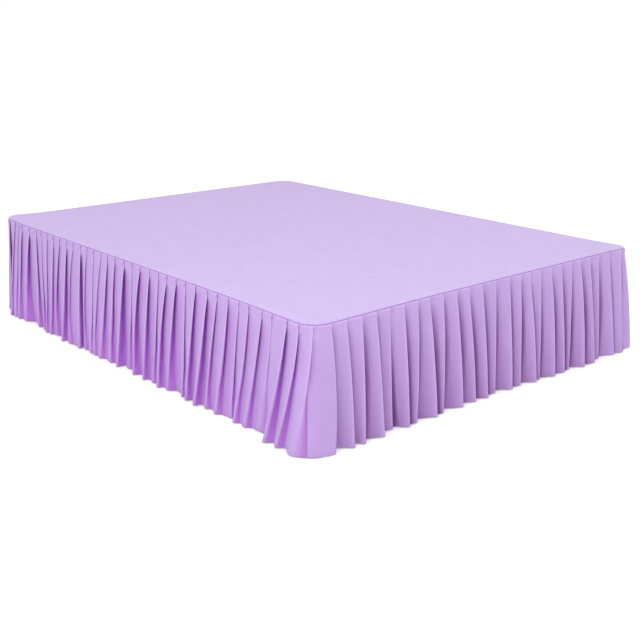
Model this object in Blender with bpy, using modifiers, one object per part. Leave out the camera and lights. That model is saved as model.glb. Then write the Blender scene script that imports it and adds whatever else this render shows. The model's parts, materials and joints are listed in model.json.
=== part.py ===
"""Pleated bed skirt on a plain bed base.

The skirt has a flat deck panel that lies on the base and a pleated drop of four
panels, one for each side, which hangs from the deck's edge to the floor. Each
panel is one sheet of cloth in knife pleats: pressed flat and overlapping at the
seam, open and leaning at the hem. Metres, +Z up, the floor at z = 0.
"""

import math
import random
from typing import NamedTuple

import bmesh
import bpy
from mathutils import Vector

MM = 0.001

# Driving sizes: a queen bed, 60 by 80 inches, with a drop of 15 inches.
BED_WIDTH = 1.524
BED_LENGTH = 2.032
DECK_TOP = 0.400
CORNER_RADIUS = 0.065
CLOTH = 1.2 * MM
CLEARANCE = 0.3 * MM

# The deck's edge is rolled over the base and ends at the seam.
LIP_RADIUS = 10.0 * MM
LIP_OUT = 3.3 * MM
LIP_STEPS = 3
CORNER_STEPS = 8

# The drop, from just under the lip to just above the floor.
HEM_HEIGHT = 4.0 * MM
SEAM_TOP = DECK_TOP - CLOTH / 2 - LIP_RADIUS
LEVELS = (0.0, 0.20, 0.58, 1.0)

# A pleat's section at the seam: three layers of cloth, a little apart.
LAYER_PITCH = 2.4 * MM
SEAM_INNER = 1.0 * MM
SEAM_OUTER = SEAM_INNER + 2 * LAYER_PITCH
UNDERLAP = 14.0 * MM

# A pleat's face at the seam: flat under the fold before it, then rising to lie
# flat over its own return; points between its folds are closer on a corner.
FLAT_RISE = 0.4 * MM
UNDER_RUN = 16.0 * MM
OVER_RUN = 15.0 * MM
FACE_SHARES = (0.0, 1.0)
CORNER_SHARES = (0.0, 0.25, 0.5, 0.75, 1.0, 1.5)
HEM_UNDER = 0.26
HEM_OVER = 0.72

# Down the drop the folds part: the crests open early, their lean comes late.
LEAN_POWER = 1.15
OPEN_POWER = 0.85

# A pleat's section at the hem: rounded folds with an open return between them.
FOLD_WIDTH = 6.0 * MM
RETURN_SHARE = 0.22
LAP = 14.0 * MM
LAP_PITCH = 2.6 * MM

# The bed base that the deck lies on, and its legs.
BASE_INSET = 9.0 * MM
BASE_THICKNESS = 0.230
BASE_EDGE = 8.0 * MM
BASE_CORNER = 0.050
LEG_TOP = 0.060
LEG_FOOT = 0.048
LEG_SIDES = 20
LEG_INSET = 0.110
LEG_ROWS = (-1, 0, 1)


class Fold(NamedTuple):
    """One pleat, in millimetres, read from left to right from outside the bed.

    width: from the fold before, along the seam; lean: how far its hem end is
    moved along the side; crest and trough: how far the outer fold and the inner
    fold after it stand out from the seam at the hem.
    """

    width: float
    lean: float
    crest: float
    trough: float


LEFT_FOLDS = (
    Fold(34, -4, 50, 42),
    Fold(28, 2, 54, 40),
    Fold(68, -10, 47, 20),
    Fold(62, 40, 44, 31),
    Fold(45, 48, 46, 38),
    Fold(52, 30, 53, 44),
    Fold(54, 10, 52, 40),
    Fold(54, -16, 42, 28),
    Fold(55, 10, 58, 36),
    Fold(56, 0, 50, 42),
    Fold(56, 24, 51, 24),
    Fold(52, -2, 40, 32),
    Fold(48, 6, 43, 36),
    Fold(58, -24, 46, 38),
    Fold(46, -24, 48, 32),
    Fold(55, -12, 43, 28),
    Fold(63, -18, 47, 16),
    Fold(56, -30, 28, 20),
    Fold(54, -16, 46, 22),
    Fold(60, -8, 47, 25),
    Fold(57, -15, 38, 28),
    Fold(53, -20, 50, 28),
    Fold(58, -30, 40, 15),
    Fold(54, 0, 36, 26),
    Fold(60, -27, 46, 23),
    Fold(66, -36, 49, 22),
    Fold(55, -43, 36, 22),
    Fold(59, -43, 39, 22),
    Fold(56, -36, 20, 10),
    Fold(50, -54, 33, 12),
    Fold(66, -66, 33, 8),
    Fold(48, -60, 17, 8),
    Fold(70, -56, 59, 32),
)

FOOT_FOLDS = (
    Fold(52, -49, 53, 32),
    Fold(44, -32, 60, 54),
    Fold(54, -14, 45, 14),
    Fold(58, 0, 46, 24),
    Fold(62, -18, 46, 22),
    Fold(57, 5, 45, 9),
    Fold(55, 8, 19, 9),
    Fold(60, 1, 42, 26),
    Fold(59, -18, 32, 7),
    Fold(53, 15, 38, 20),
    Fold(60, -6, 28, 2),
    Fold(62, 19, 33, 6),
    Fold(59, 31, 29, 10),
    Fold(64, 23, 30, 11),
    Fold(67, 6, 20, 2),
    Fold(68, 11, 34, 17),
    Fold(58, 4, 26, 7),
    Fold(50, 24, 41, 22),
    Fold(56, -4, 30, 20),
    Fold(59, 4, 47, 30),
    Fold(56, 9, 42, 28),
    Fold(59, -15, 34, 20),
    Fold(50, 4, 53, 37),
    Fold(59, 11, 50, 20),
    Fold(50, 12, 28, 14),
    Fold(63, 29, 38, 28),
    Fold(55, 3, 34, 18),
    Fold(60, 6, 54, 30),
    Fold(68, 10, 50, 30),
)

# The two sides that face away are pleated alike, with drawn variations.
PLAIN_PITCH = 57.0
PLAIN_SPREAD = 7.0
PLAIN_LEAN = 16.0
HEM_LEAST = 34.0
LAST_LEAN = -6.0
PLAIN_CREST = (34.0, 54.0)
PLAIN_DEPTH = (10.0, 27.0)
CORNER_CREST = 57.0
RIGHT_SEED = 11
HEAD_SEED = 5

# Places of the four joins between panels, on the straight runs beside the corners.
HEAD_JOIN = 0.050
RIGHT_JOIN_BACK = 0.035

LILAC = (0.62, 0.47, 0.84, 1.0)
TICKING = (0.78, 0.76, 0.72, 1.0)
BEECH = (0.55, 0.38, 0.22, 1.0)
CLOTH_ROUGHNESS = 0.85
TICKING_ROUGHNESS = 0.9
BEECH_ROUGHNESS = 0.5


# ---------------------------------------------------------------- the outline

SIDE_RUN = BED_LENGTH - 2 * CORNER_RADIUS
END_RUN = BED_WIDTH - 2 * CORNER_RADIUS
ARC_RUN = math.pi / 2 * CORNER_RADIUS
PERIMETER = 2 * (SIDE_RUN + END_RUN) + 4 * ARC_RUN


def outline_point(along: float, out: float) -> Vector:
    """Point at a distance along the bed's rounded outline and out from it.

    The distance starts at the head end of the left side and runs round the
    foot, so that it grows from left to right for someone outside the bed.
    """
    left = along % PERIMETER
    half_x = BED_WIDTH / 2 - CORNER_RADIUS
    half_y = BED_LENGTH / 2 - CORNER_RADIUS
    corners = ((-half_x, -half_y), (half_x, -half_y), (half_x, half_y), (-half_x, half_y))
    for quarter, (centre_x, centre_y) in enumerate(corners):
        run = SIDE_RUN if quarter % 2 == 0 else END_RUN
        facing = math.pi + quarter * math.pi / 2
        normal = Vector((math.cos(facing), math.sin(facing)))
        travel = Vector((-normal.y, normal.x))
        centre = Vector((centre_x, centre_y))
        if left <= run:
            return centre + normal * (CORNER_RADIUS + out) - travel * (run - left)
        left -= run
        if left <= ARC_RUN:
            turn = facing + left / CORNER_RADIUS
            return centre + Vector((math.cos(turn), math.sin(turn))) * (CORNER_RADIUS + out)
        left -= ARC_RUN
    return outline_point(0.0, out)


def outline_stations() -> list[float]:
    """Distances along the outline that draw its straight runs and arcs."""
    stations = []
    start = 0.0
    for quarter in range(4):
        run = SIDE_RUN if quarter % 2 == 0 else END_RUN
        stations += [start + run + ARC_RUN * step / CORNER_STEPS for step in range(CORNER_STEPS + 1)]
        start += run + ARC_RUN
    return stations


# ------------------------------------------------------------------ the pleats

def mix(start: float, end: float, share: float) -> float:
    """Value between two others."""
    return start + (end - start) * share


class Pleat(NamedTuple):
    """One pleat on the outline, in metres; room is the way to the next crest at the hem."""

    seam: float
    hem: float
    crest: float
    trough: float
    room: float = 0.0

    def crest_along(self, level: float) -> float:
        """Place of the outer fold along the outline."""
        return mix(self.seam, self.hem, level ** LEAN_POWER)

    def inner_along(self, level: float) -> float:
        """Place of the inner fold that follows the outer one."""
        run = FOLD_WIDTH + RETURN_SHARE * (self.room - 2 * FOLD_WIDTH)
        return self.crest_along(level) + mix(-UNDERLAP, run, level)

    def crest_out(self, level: float) -> float:
        """How far the outer fold stands out."""
        return mix(SEAM_OUTER, self.crest, level ** OPEN_POWER)

    def trough_out(self, level: float) -> float:
        """How far the inner fold stands out."""
        return mix(SEAM_INNER, self.trough, level)

    def moved(self, distance: float) -> "Pleat":
        """The same pleat, further along the outline."""
        return self._replace(seam=self.seam + distance, hem=self.hem + distance)


def pleats_from(folds: tuple[Fold, ...], start: float) -> list[Pleat]:
    """Pleats of one panel, from its table and the place of the fold before it."""
    pleats = []
    seam = start
    for fold in folds:
        seam += fold.width * MM
        pleats.append(Pleat(seam, seam + fold.lean * MM, fold.crest * MM, fold.trough * MM))
    return pleats


def with_room(panels: list[list[Pleat]]) -> list[list[Pleat]]:
    """The same panels, each pleat knowing the way to the crest that follows it."""
    ring = [pleat for panel in panels for pleat in panel]
    following = ring[1:] + [ring[0].moved(PERIMETER)]
    roomy = iter([pleat._replace(room=after.hem - pleat.hem) for pleat, after in zip(ring, following)])
    return [[next(roomy) for _ in panel] for panel in panels]


def plain_folds(run: float, lean: float, seed: int) -> tuple[Fold, ...]:
    """Folds that fill a run of the outline with drawn widths and leans.

    lean is that of the fold before the first one. No hem crest comes closer to
    the crest before it than HEM_LEAST, and the last fold hangs nearly straight.
    """
    draw = random.Random(seed)
    count = round(run / (PLAIN_PITCH * MM))
    widths = [PLAIN_PITCH + draw.uniform(-PLAIN_SPREAD, PLAIN_SPREAD) for _ in range(count)]
    scale = run / MM / sum(widths)
    folds = []
    for number, width in enumerate(widths):
        near_corner = number in (0, count - 1)
        crest = CORNER_CREST if near_corner else draw.uniform(*PLAIN_CREST)
        depth = draw.uniform(*PLAIN_DEPTH)
        wish = LAST_LEAN if number == count - 1 else draw.uniform(-PLAIN_LEAN, PLAIN_LEAN)
        lean = max(wish, lean + HEM_LEAST - width * scale)
        folds.append(Fold(width * scale, lean, crest, crest - depth))
    return tuple(folds)


def on_corner(pleat: Pleat) -> bool:
    """Whether a pleat's face lies on one of the rounded corners."""
    place = outline_point(pleat.seam - UNDERLAP, 0.0)
    past_x = abs(place.x) > BED_WIDTH / 2 - CORNER_RADIUS
    past_y = abs(place.y) > BED_LENGTH / 2 - CORNER_RADIUS
    return past_x and past_y


def inner_fold(pleat: Pleat, level: float) -> tuple[tuple[float, float], tuple[float, float]]:
    """The two points of a pleat's inner fold: the return's end, the next face's start."""
    along = pleat.inner_along(level)
    out = pleat.trough_out(level)
    turn = math.pi / 2 * (1 - level)
    half = FOLD_WIDTH / 2 * math.cos(turn)
    return (along - half, out + LAYER_PITCH * math.sin(turn)), (along + half, out)


def pleat_section(before: Pleat, pleat: Pleat, level: float, first: bool) -> list[tuple[float, float]]:
    """Points of one pleat from the inner fold before it to the one after it."""
    turn = math.pi / 2 * (1 - level)
    half = FOLD_WIDTH / 2 * math.cos(turn)
    drop = LAYER_PITCH * math.sin(turn)
    crest_along = pleat.crest_along(level)
    crest_out = pleat.crest_out(level)
    back_end, start = inner_fold(before, level)
    points = []
    if first:
        lap_out = back_end[1] - LAP_PITCH
        start = (start[0], min(start[1], lap_out))
        points.append((back_end[0] - LAP, lap_out))
    points.append(start)
    run = crest_along - half - start[0]
    rise = crest_out - start[1]
    under = UNDER_RUN / run
    over = 1 - OVER_RUN / run
    for share in CORNER_SHARES if on_corner(pleat) else FACE_SHARES:
        beyond = max(0.0, share - 1)
        flat = mix(FLAT_RISE, SEAM_OUTER - SEAM_INNER - FLAT_RISE, min(share, 1)) + FLAT_RISE * beyond
        seam_place = mix(under, over, min(share, 1)) + (1 - over) * beyond
        hem_place = mix(HEM_UNDER, HEM_OVER, min(share, 1)) + (1 - HEM_OVER) * beyond
        place = mix(seam_place, hem_place, level)
        wave = hem_place * hem_place * (3 - 2 * hem_place)
        height = mix(flat / (SEAM_OUTER - SEAM_INNER), wave, level)
        points.append((start[0] + run * place, start[1] + rise * height))
    points.append((crest_along - half, crest_out))
    points.append((crest_along + half, crest_out - drop))
    points.append(inner_fold(pleat, level)[0])
    return points


def panel_section(before: Pleat, pleats: list[Pleat], level: float) -> list[tuple[float, float]]:
    """Section of a whole panel at one level, from its lap to its last inner fold."""
    points = []
    for number, pleat in enumerate(pleats):
        points += pleat_section(before, pleat, level, number == 0)
        before = pleat
    return points


# ------------------------------------------------------------------- the pieces

def link(mesh_source: bmesh.types.BMesh, name: str, colour: tuple, rough: float) -> bpy.types.Object:
    """Turn a bmesh into a named object with its own material."""
    mesh = bpy.data.meshes.new(name)
    mesh_source.to_mesh(mesh)
    mesh_source.free()
    material = bpy.data.materials.new(name + "_finish")
    material.use_nodes = True
    shader = material.node_tree.nodes["Principled BSDF"]
    shader.inputs["Base Color"].default_value = colour
    shader.inputs["Roughness"].default_value = rough
    shader.inputs["Metallic"].default_value = 0.0
    mesh.materials.append(material)
    piece = bpy.data.objects.new(name, mesh)
    PARTS.objects.link(piece)
    return piece


def thicken(piece: bpy.types.Object) -> None:
    """Give an open sheet the thickness of the cloth, half on each side."""
    solid = piece.modifiers.new("cloth", "SOLIDIFY")
    solid.thickness = CLOTH
    solid.offset = 0.0
    solid.use_even_offset = True


def make_panel(name: str, before: Pleat, pleats: list[Pleat]) -> bpy.types.Object:
    """One panel of the drop: a grid whose rows lie on the sections of its levels."""
    sections = [panel_section(before, pleats, level) for level in LEVELS]
    columns = len(sections[0])
    cloth = bmesh.new()
    bmesh.ops.create_grid(cloth, x_segments=columns - 1, y_segments=len(LEVELS) - 1, size=0.5)
    for vertex in cloth.verts:
        column = round((vertex.co.x + 0.5) * (columns - 1))
        row = round((0.5 - vertex.co.y) * (len(LEVELS) - 1))
        along, out = sections[row][column]
        place = outline_point(along, out)
        height = mix(SEAM_TOP - CLEARANCE, HEM_HEIGHT, LEVELS[row])
        vertex.co = (place.x, place.y, height)
    piece = link(cloth, name, LILAC, CLOTH_ROUGHNESS)
    thicken(piece)
    return piece


def make_deck() -> bpy.types.Object:
    """The deck panel: flat over the base, its edge rolled down to the seam."""
    stations = outline_stations()
    cloth = bmesh.new()
    ring = bmesh.ops.create_circle(cloth, segments=len(stations), radius=1.0)["verts"]
    flat = DECK_TOP - CLOTH / 2
    for vertex, along in zip(ring, stations):
        place = outline_point(along, LIP_OUT - LIP_RADIUS)
        vertex.co = (place.x, place.y, flat)
    edges = list(cloth.edges)
    bmesh.ops.contextual_create(cloth, geom=edges)
    for step in range(1, LIP_STEPS + 1):
        bend = math.pi / 2 * step / LIP_STEPS
        out = LIP_OUT - LIP_RADIUS * (1 - math.sin(bend))
        height = flat - LIP_RADIUS * (1 - math.cos(bend))
        grown = bmesh.ops.extrude_edge_only(cloth, edges=edges)["geom"]
        edges = [item for item in grown if isinstance(item, bmesh.types.BMEdge)]
        rim = [item for item in grown if isinstance(item, bmesh.types.BMVert)]
        for vertex in rim:
            along = nearest_station(vertex, stations)
            place = outline_point(along, out)
            vertex.co = (place.x, place.y, height)
    bmesh.ops.recalc_face_normals(cloth, faces=cloth.faces)
    piece = link(cloth, "deck_panel", LILAC, CLOTH_ROUGHNESS)
    thicken(piece)
    return piece


def nearest_station(vertex: bmesh.types.BMVert, stations: list[float]) -> float:
    """Station of the outline that a vertex of the deck's rim belongs to."""
    return min(stations, key=lambda along: (outline_point(along, 0.0) - vertex.co.xy).length)


def make_base() -> bpy.types.Object:
    """The plain box base under the deck."""
    top = DECK_TOP - CLOTH - CLEARANCE
    block = bmesh.new()
    bmesh.ops.create_cube(block, size=1.0)
    bmesh.ops.scale(
        block,
        vec=(BED_WIDTH - 2 * BASE_INSET, BED_LENGTH - 2 * BASE_INSET, BASE_THICKNESS),
        verts=block.verts,
    )
    bmesh.ops.translate(block, vec=(0.0, 0.0, top - BASE_THICKNESS / 2), verts=block.verts)
    upright = [edge for edge in block.edges if abs(edge.verts[0].co.z - edge.verts[1].co.z) > MM]
    bmesh.ops.bevel(block, geom=upright, offset=BASE_CORNER, segments=5, profile=0.5, affect="EDGES")
    piece = link(block, "bed_base", TICKING, TICKING_ROUGHNESS)
    edge_round = piece.modifiers.new("edges", "BEVEL")
    edge_round.width = BASE_EDGE
    edge_round.segments = 2
    edge_round.limit_method = "ANGLE"
    edge_round.angle_limit = math.radians(50)
    return piece


def make_leg(number: int, x: float, y: float) -> bpy.types.Object:
    """One turned leg, from the floor to the base."""
    height = DECK_TOP - CLOTH - 2 * CLEARANCE - BASE_THICKNESS
    post = bmesh.new()
    bmesh.ops.create_cone(
        post, cap_ends=True, segments=LEG_SIDES, radius1=LEG_FOOT / 2, radius2=LEG_TOP / 2, depth=height
    )
    bmesh.ops.translate(post, vec=(x, y, height / 2), verts=post.verts)
    return link(post, f"leg_{number}", BEECH, BEECH_ROUGHNESS)


def centre_on_origin(pieces: list[bpy.types.Object]) -> None:
    """Move everything sideways so that the middle of the whole is at the origin."""
    bpy.context.view_layer.update()
    graph = bpy.context.evaluated_depsgraph_get()
    corners = [
        Vector(corner)
        for piece in pieces
        for corner in piece.evaluated_get(graph).bound_box
    ]
    for axis in (0, 1):
        values = [corner[axis] for corner in corners]
        middle = (min(values) + max(values)) / 2
        for piece in pieces:
            piece.location[axis] -= middle


def main() -> None:
    """Build the skirt, then the base that it hangs on."""
    left = pleats_from(LEFT_FOLDS, HEAD_JOIN)
    foot = pleats_from(FOOT_FOLDS, left[-1].seam)
    right_end = PERIMETER - END_RUN - 2 * ARC_RUN - RIGHT_JOIN_BACK
    right_folds = plain_folds(right_end - foot[-1].seam, FOOT_FOLDS[-1].lean, RIGHT_SEED)
    right = pleats_from(right_folds, foot[-1].seam)
    head_run = PERIMETER + HEAD_JOIN - right[-1].seam
    head = pleats_from(plain_folds(head_run, right_folds[-1].lean, HEAD_SEED), right[-1].seam)
    left, foot, right, head = with_room([left, foot, right, head])
    before_left = head[-1].moved(-PERIMETER)
    pieces = [
        make_deck(),
        make_panel("skirt_left", before_left, left),
        make_panel("skirt_foot", left[-1], foot),
        make_panel("skirt_right", foot[-1], right),
        make_panel("skirt_head", right[-1], head),
        make_base(),
    ]
    leg_x = BED_WIDTH / 2 - LEG_INSET
    leg_y = BED_LENGTH / 2 - LEG_INSET
    places = [(side * leg_x, row * leg_y) for side in (-1, 1) for row in LEG_ROWS]
    pieces += [make_leg(number, x, y) for number, (x, y) in enumerate(places, start=1)]
    centre_on_origin(pieces)


for old in list(bpy.data.objects):
    bpy.data.objects.remove(old, do_unlink=True)

PARTS = bpy.data.collections.new("bed_skirt")
bpy.context.scene.collection.children.link(PARTS)
main()
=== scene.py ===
"""Looks of the pleated bed skirt: the cloth's folds, seams, hems and finishes.

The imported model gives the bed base, the legs and the place of every panel. The
deck and the four panels of the drop are made again here as fine cloth, on the
folds of the solids that they replace. Metres, +Z up, the floor at z = 0.
"""

from __future__ import annotations

import json
import logging
import math
import random
from collections.abc import Callable
from dataclasses import dataclass, field
from enum import Enum
from typing import NamedTuple

import bmesh
import bpy
import numpy as np
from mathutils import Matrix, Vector, noise

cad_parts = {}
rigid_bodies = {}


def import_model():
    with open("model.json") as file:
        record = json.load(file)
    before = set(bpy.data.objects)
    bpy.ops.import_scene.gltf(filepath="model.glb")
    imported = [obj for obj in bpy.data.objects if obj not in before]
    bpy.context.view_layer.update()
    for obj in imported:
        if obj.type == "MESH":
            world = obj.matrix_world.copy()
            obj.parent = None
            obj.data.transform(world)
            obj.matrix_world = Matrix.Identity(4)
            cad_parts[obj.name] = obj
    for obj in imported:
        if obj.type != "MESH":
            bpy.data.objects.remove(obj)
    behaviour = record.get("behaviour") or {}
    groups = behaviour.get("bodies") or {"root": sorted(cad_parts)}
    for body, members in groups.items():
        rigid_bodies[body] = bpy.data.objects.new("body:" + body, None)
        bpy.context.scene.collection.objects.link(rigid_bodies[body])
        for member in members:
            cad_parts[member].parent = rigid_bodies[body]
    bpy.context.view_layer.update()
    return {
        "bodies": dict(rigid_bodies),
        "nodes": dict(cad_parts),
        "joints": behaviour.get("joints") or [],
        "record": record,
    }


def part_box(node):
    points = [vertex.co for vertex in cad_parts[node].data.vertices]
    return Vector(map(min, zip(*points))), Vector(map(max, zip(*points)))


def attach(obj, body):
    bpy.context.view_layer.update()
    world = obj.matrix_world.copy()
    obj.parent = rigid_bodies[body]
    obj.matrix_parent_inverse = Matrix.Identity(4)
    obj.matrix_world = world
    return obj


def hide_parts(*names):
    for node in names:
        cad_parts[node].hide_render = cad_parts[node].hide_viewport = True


MM = 0.001
BASE_INSET = 9.0 * MM  # from the outline of the skirt's top in to the base
LOG = logging.getLogger("bed_skirt")

Array = np.ndarray
Pair = tuple[float, float]
Triple = tuple[float, float, float]
Quad = tuple[float, float, float, float]
Points = tuple[Array, Array]
Bump = tuple[int, int, float, float]


# ------------------------------------------------------------------ the tables

class Fold(NamedTuple):
    """One pleat, in millimetres, read from left to right from outside the bed.

    width: from the fold before, along the seam; lean: how far its hem end is
    moved along the side; crest and trough: how far the outer fold and the inner
    fold after it stand out from the seam at the hem; bow: how far the fold
    stands aside of the straight line from seam to hem, half way down; pinch:
    how far below the seam it stays closed.
    """

    width: float
    lean: float
    crest: float
    trough: float
    bow: float = 0.0
    pinch: float = 9.0


LEFT_FOLDS = (
    Fold(34, -4, 50, 42, 0, 26),
    Fold(28, 2, 54, 40, 4, 34),
    Fold(68, -10, 47, 20, -5, 46),
    Fold(62, 40, 44, 31, 7, 30),
    Fold(45, 48, 46, 38, 6, 36),
    Fold(52, 30, 53, 44, 3, 28),
    Fold(54, 10, 52, 40, 5, 38),
    Fold(54, -16, 42, 28, -9, 34),
    Fold(55, 10, 58, 36, 4, 42),
    Fold(56, 0, 50, 42, -14, 30),
    Fold(56, 24, 51, 24, 0, 44),
    Fold(52, -2, 40, 32, -12, 26),
    Fold(48, 6, 43, 36, 0, 36),
    Fold(58, -24, 46, 38, -10, 28),
    Fold(46, -24, 48, 32, 3, 34),
    Fold(55, -12, 43, 28, -4, 24),
    Fold(63, -18, 47, 16, 0, 38),
    Fold(56, -30, 28, 20, 5, 30),
    Fold(54, -16, 46, 22, -12, 22),
    Fold(60, -8, 47, 25, 0, 34),
    Fold(57, -15, 38, 28, 4, 26),
    Fold(53, -20, 50, 28, -8, 40),
    Fold(58, -30, 40, 15, -4, 24),
    Fold(54, 0, 36, 26, 3, 32),
    Fold(60, -27, 46, 23, 0, 20),
    Fold(66, -36, 49, 22, 4, 34),
    Fold(55, -43, 36, 22, -3, 26),
    Fold(59, -43, 39, 22, 5, 22),
    Fold(56, -36, 20, 10, -4, 36),
    Fold(50, -54, 33, 19, 6, 24),
    Fold(66, -66, 33, 16, 4, 28),
    Fold(48, -60, 17, 12, 6, 18),
    Fold(70, -56, 59, 32, 10, 24),
)

FOOT_FOLDS = (
    Fold(52, -49, 53, 32, 13, 20),
    Fold(44, -32, 60, 54, 2, 26),
    Fold(54, -14, 45, 14, 6, 14),
    Fold(58, 0, 46, 24, 4, 10),
    Fold(62, -18, 46, 22, 1, 16),
    Fold(57, 5, 45, 9, 2, 12),
    Fold(55, 8, 19, 9, 0, 30),
    Fold(60, 1, 42, 26, 2, 10),
    Fold(59, -18, 32, 7, 6, 14),
    Fold(53, 15, 38, 20, 4, 18),
    Fold(60, -6, 28, 2, 7, 12),
    Fold(62, 19, 33, 6, 6, 10),
    Fold(59, 31, 29, 10, 3, 20),
    Fold(64, 23, 30, 11, 5, 12),
    Fold(67, 6, 20, 2, 2, 16),
    Fold(68, 11, 34, 17, 2, 10),
    Fold(58, 4, 26, 7, 5, 14),
    Fold(50, 24, 41, 22, 6, 34),
    Fold(56, -4, 30, 20, 4, 12),
    Fold(59, 4, 47, 30, 6, 18),
    Fold(56, 9, 42, 28, 4, 10),
    Fold(59, -15, 34, 20, 3, 16),
    Fold(50, 4, 53, 37, 8, 12),
    Fold(59, 11, 50, 20, 2, 20),
    Fold(50, 12, 28, 14, 3, 10),
    Fold(63, 29, 38, 28, 2, 14),
    Fold(55, 3, 34, 18, 0, 12),
    Fold(60, 6, 54, 30, 0, 16),
    Fold(68, 10, 50, 30, 0, 20),
)


# ------------------------------------------------------------- shader building

def maths(operation: str, reflected: bool = False) -> Callable[..., Signal]:
    """Make a method that adds one Math node.

    Args:
        operation: the node's operation.
        reflected: whether the other value comes before the method's own.

    Returns:
        A method that hands back the node's result.
    """
    def method(own: Signal, *others: Signal | float) -> Signal:
        """Work the operation on the socket and the other values."""
        values = (*others, own) if reflected else (own, *others)
        return own.recipe.node("ShaderNodeMath", {"operation": operation}, dict(enumerate(values)))

    return method


class Signal:
    """A socket of a shader tree that takes part in sums and products."""

    def __init__(self, recipe: Recipe, socket: bpy.types.NodeSocket) -> None:
        """Keep the socket and the recipe whose tree it is in."""
        self.recipe = recipe
        self.socket = socket

    __add__ = __radd__ = maths("ADD")
    __sub__ = maths("SUBTRACT")
    __rsub__ = maths("SUBTRACT", reflected=True)
    __mul__ = __rmul__ = maths("MULTIPLY")
    __truediv__ = maths("DIVIDE")
    sine = maths("SINE")
    fraction = maths("FRACT")
    size = maths("ABSOLUTE")
    most = maths("MAXIMUM")

    def band(self, start: float, end: float) -> Signal:
        """Smooth step from 0 at start to 1 at end."""
        settings = {"interpolation_type": "SMOOTHSTEP"}
        inputs = {"Value": self, "From Min": start, "From Max": end, "To Min": 0.0, "To Max": 1.0}
        return self.recipe.node("ShaderNodeMapRange", settings, inputs)


class Cloud(NamedTuple):
    """Soft noise: its bumps a metre, its layers of detail and their roughness."""

    scale: float
    detail: float = 2.0
    rough: float = 0.5


class Recipe:
    """The nodes of one finish, or of the studio's light, around its shader.

    mix_first, mix_second and mix_colour number the Mix node's colour sockets.
    """

    mix_first, mix_second, mix_colour = 6, 7, 2

    def __init__(self, owner: bpy.types.Material | bpy.types.World, shader: str) -> None:
        """Start on a new material or world, at its tree's shader of that name."""
        owner.use_nodes = True
        self.owner = owner
        self.tree = owner.node_tree
        self.shader = self.tree.nodes[shader]

    @classmethod
    def of_material(cls, name: str) -> Recipe:
        """Start a material of that name."""
        return cls(bpy.data.materials.new(name), "Principled BSDF")

    def node(
        self, kind: str, settings: dict | None = None, inputs: dict | None = None, output: int | str = 0
    ) -> Signal:
        """Add a node.

        Args:
            kind: the node's type.
            settings: its own settings, set first.
            inputs: values or signals for its sockets, by name or number.
            output: which of its outputs to hand back.

        Returns:
            That output.
        """
        made = self.tree.nodes.new(kind)
        for name, value in (settings or {}).items():
            setattr(made, name, value)
        for key, value in (inputs or {}).items():
            self.feed(made.inputs[key], value)
        return Signal(self, made.outputs[output])

    def feed(self, socket: bpy.types.NodeSocket, value: Signal | float | tuple) -> None:
        """Link a signal to a socket, or set the socket's own value."""
        if isinstance(value, Signal):
            self.tree.links.new(value.socket, socket)
        else:
            socket.default_value = value

    def place(self, frame: str = "Object") -> Signal:
        """Coordinates in one of the node's frames."""
        return self.node("ShaderNodeTexCoord", output=frame)

    def reading(self, name: str) -> Signal:
        """Value of one of the mesh's attributes."""
        return self.node("ShaderNodeAttribute", {"attribute_name": name}, output="Fac")

    def parts(self, vector: Signal) -> tuple[Signal, Signal, Signal]:
        """X, Y and Z of a vector."""
        split = self.node("ShaderNodeSeparateXYZ", {}, {0: vector}).socket.node
        return tuple(Signal(self, socket) for socket in split.outputs)

    def cloud(self, vector: Signal, kind: Cloud) -> Signal:
        """Soft noise, from 0 to 1."""
        inputs = {"Vector": vector, "Scale": kind.scale, "Detail": kind.detail, "Roughness": kind.rough}
        return self.node("ShaderNodeTexNoise", {"noise_dimensions": "3D"}, inputs, "Fac")

    def blend(
        self, share: Signal | float, first: Signal | tuple, second: Signal | tuple, mode: str = "MIX"
    ) -> Signal:
        """Colour between two others, or in another of the node's modes."""
        settings = {"data_type": "RGBA", "blend_type": mode}
        inputs = {"Factor": share, self.mix_first: first, self.mix_second: second}
        return self.node("ShaderNodeMix", settings, inputs, self.mix_colour)

    def relief(self, height: Signal, depth: float, under: Signal | None = None) -> Signal:
        """Normal of a bump whose height runs from 0 to 1 over a depth in metres."""
        inputs = {"Height": height, "Distance": depth, "Strength": 1.0}
        if under is not None:
            inputs["Normal"] = under
        return self.node("ShaderNodeBump", {}, inputs)

    def finish(self, **sockets: Signal | float | tuple) -> bpy.types.Material | bpy.types.World:
        """Feed the shader's sockets, with _ for a blank in their names."""
        for name, value in sockets.items():
            self.feed(self.shader.inputs[name.replace("_", " ")], value)
        return self.owner


def colour(red: float, green: float, blue: float, dim: float = 1.0) -> Quad:
    """Linear colour with alpha, made darker by a factor."""
    return (red * dim, green * dim, blue * dim, 1.0)


WHITE = colour(1.0, 1.0, 1.0)


# ----------------------------------------------------------------- the finishes

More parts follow.
